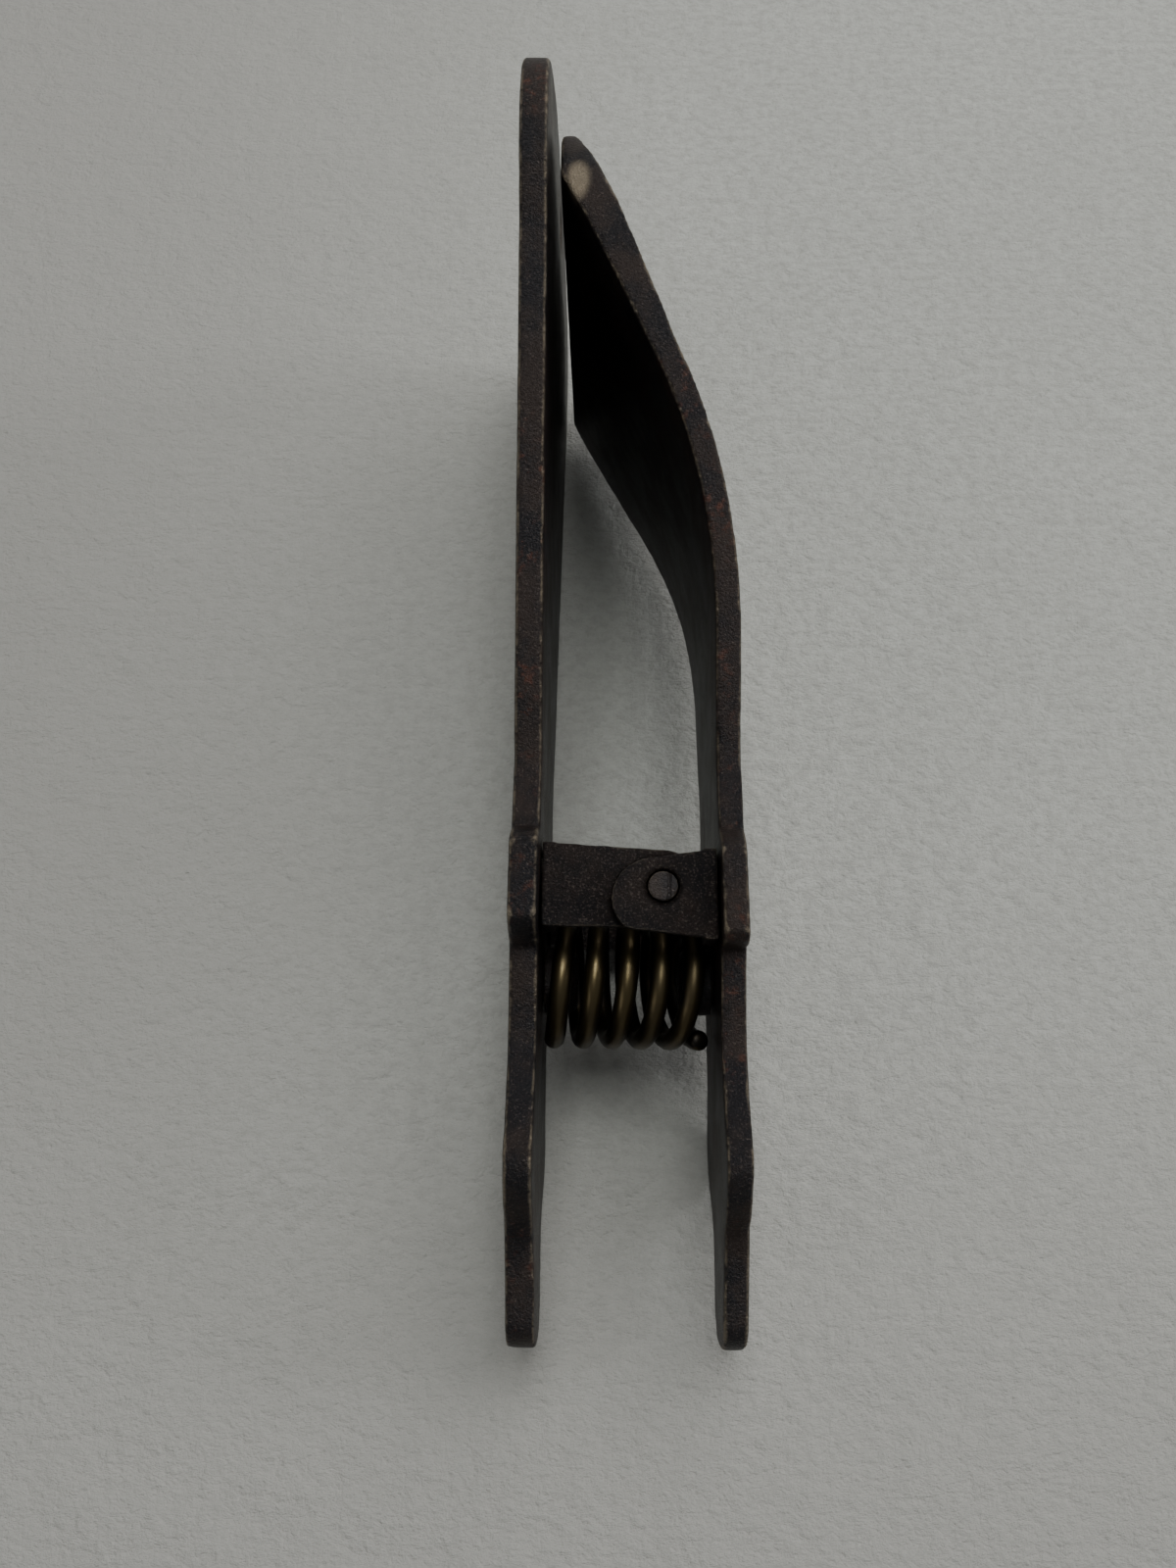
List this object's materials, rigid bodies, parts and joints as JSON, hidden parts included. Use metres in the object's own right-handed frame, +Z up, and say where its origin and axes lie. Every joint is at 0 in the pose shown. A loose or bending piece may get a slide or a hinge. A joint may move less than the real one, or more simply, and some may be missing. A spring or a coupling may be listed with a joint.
{
  "type": "spring clip trap",
  "caption": "Sprung metal clip trap: flat back plate, curved front jaw plate, riveted U-bracket hinge and a coil spring between waisted finger ends.",
  "frame": {"origin": "centre of the bounding box on the surface that the clip's lower edges rest on", "axes": "+X from the back plate's outer face towards the front plate, +Y from the finger ends to the jaw end, +Z up; the clip stands on its edges with its middle plane tipped 9.58 degrees about X, finger ends down"},
  "size_m": [0.0216, 0.1194, 0.0547],
  "materials": {
    "plate_steel": "dark brown worn patina with specks of rust, rubbed bright along the edges",
    "bracket_steel": "dark pitted steel, dry and slightly rough",
    "rivet_steel": "dark steel with worn, flattened ends",
    "spring_wire": "drawn wire with a dull brassy-brown tarnish and soft highlights"
  },
  "bodies": {
    "back_assembly": {"back_plate": "plate_steel", "back_hinge_bracket": "bracket_steel", "upper_pivot_rivet": "rivet_steel", "lower_pivot_rivet": "rivet_steel", "back_bracket_rivet_upper": "rivet_steel", "back_bracket_rivet_lower": "rivet_steel", "back_spring_stud": "rivet_steel", "coil_spring": "spring_wire"},
    "front_assembly": {"front_jaw_plate": "plate_steel", "front_hinge_bracket": "bracket_steel", "front_bracket_rivet_upper": "rivet_steel", "front_bracket_rivet_lower": "rivet_steel", "front_spring_stud": "rivet_steel"}
  },
  "joints": [
    {"name": "jaw_hinge", "type": "hinge", "parent": "back_assembly", "child": "front_assembly", "pos_m": [0.00279, -0.01977, 0.01602], "axis": [0, 0.1664, -0.9861], "range_deg": [0, 18], "stiffness_Nm_per_rad": 1.5, "springref_deg": -28.65, "deforming": ["coil_spring"]}
  ]
}
